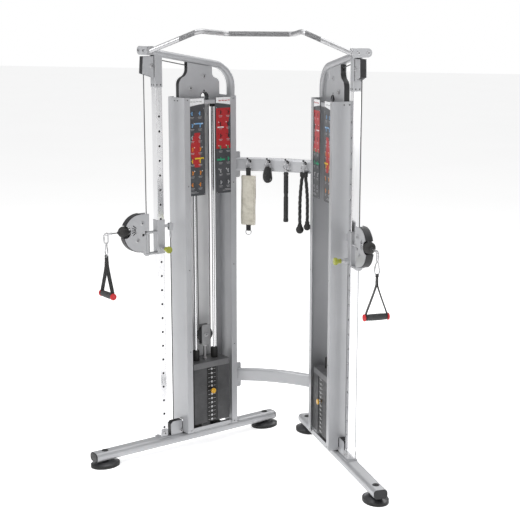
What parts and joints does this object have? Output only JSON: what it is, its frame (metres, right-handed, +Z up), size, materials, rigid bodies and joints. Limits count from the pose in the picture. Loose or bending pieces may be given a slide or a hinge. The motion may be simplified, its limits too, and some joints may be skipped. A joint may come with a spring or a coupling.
{
  "type": "cable crossover machine",
  "caption": "Cable crossover machine with angled weight-stack towers, sliding swivel pulley arms, hand grips, rear beams with hooks for accessories and a pull-up bar.",
  "frame": {"origin": "centre of the floor footprint, on the floor", "axes": "+Z up, front towards -Y, mirror plane X = 0"},
  "size_m": [1.5948, 1.0065, 2.2593],
  "materials": {
    "silver_frame": "satin metallic powder coat",
    "chrome_tube": "polished",
    "pad_grey": "domed grey rubber",
    "black_plastic": "moulded",
    "black_rubber": "moulded",
    "placard_grey": "printed sheet",
    "stack_iron": "grey enamel",
    "amber_plastic": "gloss",
    "green_plastic": "gloss",
    "steel_bar": "satin",
    "zinc_steel": "zinc plated",
    "coated_cable": "nylon coated",
    "black_webbing": "woven",
    "beige_leather": "padded leather"
  },
  "bodies": {
    "frame": {"base_rails": "silver_frame", "foot_pads": "pad_grey", "uprights": "chrome_tube", "arch_frames": "silver_frame", "pulley_plates": "silver_frame", "plastic_trim": "black_plastic", "stack_covers": "silver_frame", "outer_shields": "silver_frame", "placards": "placard_grey", "guide_rods": "chrome_tube", "stack_bumpers": "black_rubber", "resting_plates": "stack_iron", "crossbeams": "silver_frame", "pull_up_bar": "steel_bar", "bar_brackets": "silver_frame", "frame_bolts": "zinc_steel", "fixed_cables": "coated_cable", "front_cables": "coated_cable", "rear_cables": "coated_cable", "stack_cables": "coated_cable"},
    "left_carriage": {"left_carriage": "silver_frame"},
    "left_pop_pin": {"left_pop_pin": "green_plastic"},
    "left_arm": {"left_swivel_arm": "silver_frame", "left_arm_guard": "black_plastic"},
    "left_arm_upper_pulley": {"left_arm_upper_pulley": "black_plastic"},
    "left_arm_lower_pulley": {"left_arm_lower_pulley": "black_plastic"},
    "left_cable_end": {"left_cable_clips": "zinc_steel", "left_stopper_ball": "black_rubber"},
    "left_handle": {"left_handle_strap": "black_webbing", "left_hand_grip": "black_rubber"},
    "left_stack": {"left_stack_head": "stack_iron", "left_lifted_plates": "stack_iron"},
    "left_floating_pulley": {"left_floating_pulley": "black_plastic"},
    "left_selector_pin": {"left_selector_pin": "amber_plastic"},
    "left_top_pulley": {"left_top_pulley": "black_plastic"},
    "left_rear_gusset_pulley": {"left_rear_gusset_pulley": "black_plastic"},
    "left_front_gusset_pulley": {"left_front_gusset_pulley": "black_plastic"},
    "left_base_pulley": {"left_base_pulley": "black_plastic"},
    "right_carriage": {"right_carriage": "silver_frame"},
    "right_pop_pin": {"right_pop_pin": "green_plastic"},
    "right_arm": {"right_swivel_arm": "silver_frame", "right_arm_guard": "black_plastic"},
    "right_arm_upper_pulley": {"right_arm_upper_pulley": "black_plastic"},
    "right_arm_lower_pulley": {"right_arm_lower_pulley": "black_plastic"},
    "right_cable_end": {"right_cable_clips": "zinc_steel", "right_stopper_ball": "black_rubber"},
    "right_handle": {"right_handle_strap": "black_webbing", "right_hand_grip": "black_rubber"},
    "right_stack": {"right_stack_head": "stack_iron", "right_lifted_plates": "stack_iron"},
    "right_floating_pulley": {"right_floating_pulley": "black_plastic"},
    "right_selector_pin": {"right_selector_pin": "amber_plastic"},
    "right_top_pulley": {"right_top_pulley": "black_plastic"},
    "right_rear_gusset_pulley": {"right_rear_gusset_pulley": "black_plastic"},
    "right_front_gusset_pulley": {"right_front_gusset_pulley": "black_plastic"},
    "right_base_pulley": {"right_base_pulley": "black_plastic"},
    "padded_strap": {"padded_strap": "beige_leather"},
    "ankle_cuff": {"ankle_cuff": "black_webbing"},
    "curl_bar": {"curl_bar": "steel_bar"},
    "triceps_rope": {"triceps_rope": "black_webbing"}
  },
  "joints": [
    {"name": "left_carriage_slide", "type": "slide", "parent": "frame", "child": "left_carriage", "axis": [0, 0, 1], "range_m": [-0.762, 0.6858], "deforming": ["front_cables", "rear_cables"]},
    {"name": "left_pop_pin_pull", "type": "slide", "parent": "left_carriage", "child": "left_pop_pin", "axis": [0.8192, -0.5736, 0], "range_m": [0, 0.014], "stiffness_N_per_m": 900, "springref_m": -0.006},
    {"name": "left_arm_swivel", "type": "hinge", "parent": "left_carriage", "child": "left_arm", "pos_m": [-0.56779, -0.19746, 1.16], "axis": [0, 0, -1], "range_deg": [-90, 90]},
    {"name": "left_arm_upper_pulley_spin", "type": "hinge", "parent": "left_arm", "child": "left_arm_upper_pulley", "pos_m": [-0.58959, -0.22858, 1.272], "axis": [-0.8192, 0.5736, 0], "continuous": true},
    {"name": "left_arm_lower_pulley_spin", "type": "hinge", "parent": "left_arm", "child": "left_arm_lower_pulley", "pos_m": [-0.60679, -0.25316, 1.184], "axis": [-0.8192, 0.5736, 0], "continuous": true},
    {"name": "left_handle_pull", "type": "slide", "parent": "left_arm", "child": "left_cable_end", "axis": [-0.5736, -0.8192, 0], "range_m": [0, 2.4]},
    {"name": "left_handle_swing", "type": "hinge", "parent": "left_cable_end", "child": "left_handle", "pos_m": [-0.70545, -0.39405, 1.1205], "axis": [-0.8192, 0.5736, 0], "range_deg": [-30, 80]},
    {"name": "left_stack_lift", "type": "slide", "parent": "frame", "child": "left_stack", "axis": [0, 0, 1], "range_m": [0, 1.2], "deforming": ["stack_cables"]},
    {"name": "left_floating_pulley_spin", "type": "hinge", "parent": "left_stack", "child": "left_floating_pulley", "pos_m": [-0.3636, 0.09416, 0.612], "axis": [-0.8192, 0.5736, 0], "continuous": true},
    {"name": "left_selector_pin_pull", "type": "slide", "parent": "left_stack", "child": "left_selector_pin", "axis": [0.8192, -0.5736, 0], "range_m": [0, 0.075]},
    {"name": "left_top_pulley_spin", "type": "hinge", "parent": "frame", "child": "left_top_pulley", "pos_m": [-0.546, -0.16633, 2.074], "axis": [-0.8192, 0.5736, 0], "continuous": true},
    {"name": "left_rear_gusset_pulley_spin", "type": "hinge", "parent": "frame", "child": "left_rear_gusset_pulley", "pos_m": [-0.3636, 0.09416, 2.012], "axis": [-0.8192, 0.5736, 0], "continuous": true},
    {"name": "left_front_gusset_pulley_spin", "type": "hinge", "parent": "frame", "child": "left_front_gusset_pulley", "pos_m": [-0.41178, 0.02535, 1.952], "axis": [-0.8192, 0.5736, 0], "continuous": true},
    {"name": "left_base_pulley_spin", "type": "hinge", "parent": "frame", "child": "left_base_pulley", "pos_m": [-0.46225, -0.04673, 0.099], "axis": [-0.8192, 0.5736, 0], "continuous": true},
    {"name": "right_carriage_slide", "type": "slide", "parent": "frame", "child": "right_carriage", "axis": [0, 0, 1], "range_m": [-0.762, 0.6858], "deforming": ["front_cables", "rear_cables"]},
    {"name": "right_pop_pin_pull", "type": "slide", "parent": "right_carriage", "child": "right_pop_pin", "axis": [-0.8192, -0.5736, 0], "range_m": [0, 0.014], "stiffness_N_per_m": 900, "springref_m": -0.006},
    {"name": "right_arm_swivel", "type": "hinge", "parent": "right_carriage", "child": "right_arm", "pos_m": [0.56779, -0.19746, 1.16], "axis": [0, 0, 1], "range_deg": [-90, 90]},
    {"name": "right_arm_upper_pulley_spin", "type": "hinge", "parent": "right_arm", "child": "right_arm_upper_pulley", "pos_m": [0.58959, -0.22858, 1.272], "axis": [-0.8192, -0.5736, 0], "continuous": true},
    {"name": "right_arm_lower_pulley_spin", "type": "hinge", "parent": "right_arm", "child": "right_arm_lower_pulley", "pos_m": [0.60679, -0.25316, 1.184], "axis": [-0.8192, -0.5736, 0], "continuous": true},
    {"name": "right_handle_pull", "type": "slide", "parent": "right_arm", "child": "right_cable_end", "axis": [0.5736, -0.8192, 0], "range_m": [0, 2.4]},
    {"name": "right_handle_swing", "type": "hinge", "parent": "right_cable_end", "child": "right_handle", "pos_m": [0.70545, -0.39405, 1.1205], "axis": [-0.8192, -0.5736, 0], "range_deg": [-30, 80]},
    {"name": "right_stack_lift", "type": "slide", "parent": "frame", "child": "right_stack", "axis": [0, 0, 1], "range_m": [0, 1.2], "deforming": ["stack_cables"]},
    {"name": "right_floating_pulley_spin", "type": "hinge", "parent": "right_stack", "child": "right_floating_pulley", "pos_m": [0.3636, 0.09416, 0.612], "axis": [-0.8192, -0.5736, 0], "continuous": true},
    {"name": "right_selector_pin_pull", "type": "slide", "parent": "right_stack", "child": "right_selector_pin", "axis": [-0.8192, -0.5736, 0], "range_m": [0, 0.075]},
    {"name": "right_top_pulley_spin", "type": "hinge", "parent": "frame", "child": "right_top_pulley", "pos_m": [0.546, -0.16633, 2.074], "axis": [-0.8192, -0.5736, 0], "continuous": true},
    {"name": "right_rear_gusset_pulley_spin", "type": "hinge", "parent": "frame", "child": "right_rear_gusset_pulley", "pos_m": [0.3636, 0.09416, 2.012], "axis": [-0.8192, -0.5736, 0], "continuous": true},
    {"name": "right_front_gusset_pulley_spin", "type": "hinge", "parent": "frame", "child": "right_front_gusset_pulley", "pos_m": [0.41178, 0.02535, 1.952], "axis": [-0.8192, -0.5736, 0], "continuous": true},
    {"name": "right_base_pulley_spin", "type": "hinge", "parent": "frame", "child": "right_base_pulley", "pos_m": [0.46225, -0.04673, 0.099], "axis": [-0.8192, -0.5736, 0], "continuous": true},
    {"name": "padded_strap_swing", "type": "hinge", "parent": "frame", "child": "padded_strap", "pos_m": [-0.156, 0.23333, 1.5607], "axis": [-1, 0, 0], "range_deg": [0, 25]},
    {"name": "ankle_cuff_swing", "type": "hinge", "parent": "frame", "child": "ankle_cuff", "pos_m": [-0.052, 0.24799, 1.5607], "axis": [-1, 0, 0], "range_deg": [0, 25]},
    {"name": "curl_bar_swing", "type": "hinge", "parent": "frame", "child": "curl_bar", "pos_m": [0.052, 0.24799, 1.5607], "axis": [-1, 0, 0], "range_deg": [0, 25]},
    {"name": "triceps_rope_swing", "type": "hinge", "parent": "frame", "child": "triceps_rope", "pos_m": [0.156, 0.23333, 1.5607], "axis": [-1, 0, 0], "range_deg": [0, 25]}
  ],
  "couplings": [
    {"joint": "left_arm_upper_pulley_spin", "follows": "left_stack_lift", "rad_per_m": 52.632},
    {"joint": "left_floating_pulley_spin", "follows": "left_stack_lift", "rad_per_m": -26.316},
    {"joint": "left_top_pulley_spin", "follows": "left_stack_lift", "rad_per_m": -52.632},
    {"joint": "left_rear_gusset_pulley_spin", "follows": "left_stack_lift", "rad_per_m": -52.632},
    {"joint": "left_front_gusset_pulley_spin", "follows": "left_carriage_slide", "rad_per_m": -26.316},
    {"joint": "left_base_pulley_spin", "follows": "left_carriage_slide", "rad_per_m": 26.316},
    {"joint": "left_handle_pull", "follows": "left_stack_lift", "ratio": 2},
    {"joint": "right_arm_upper_pulley_spin", "follows": "right_stack_lift", "rad_per_m": 52.632},
    {"joint": "right_floating_pulley_spin", "follows": "right_stack_lift", "rad_per_m": -26.316},
    {"joint": "right_top_pulley_spin", "follows": "right_stack_lift", "rad_per_m": -52.632},
    {"joint": "right_rear_gusset_pulley_spin", "follows": "right_stack_lift", "rad_per_m": -52.632},
    {"joint": "right_front_gusset_pulley_spin", "follows": "right_carriage_slide", "rad_per_m": -26.316},
    {"joint": "right_base_pulley_spin", "follows": "right_carriage_slide", "rad_per_m": 26.316},
    {"joint": "right_handle_pull", "follows": "right_stack_lift", "ratio": 2}
  ]
}
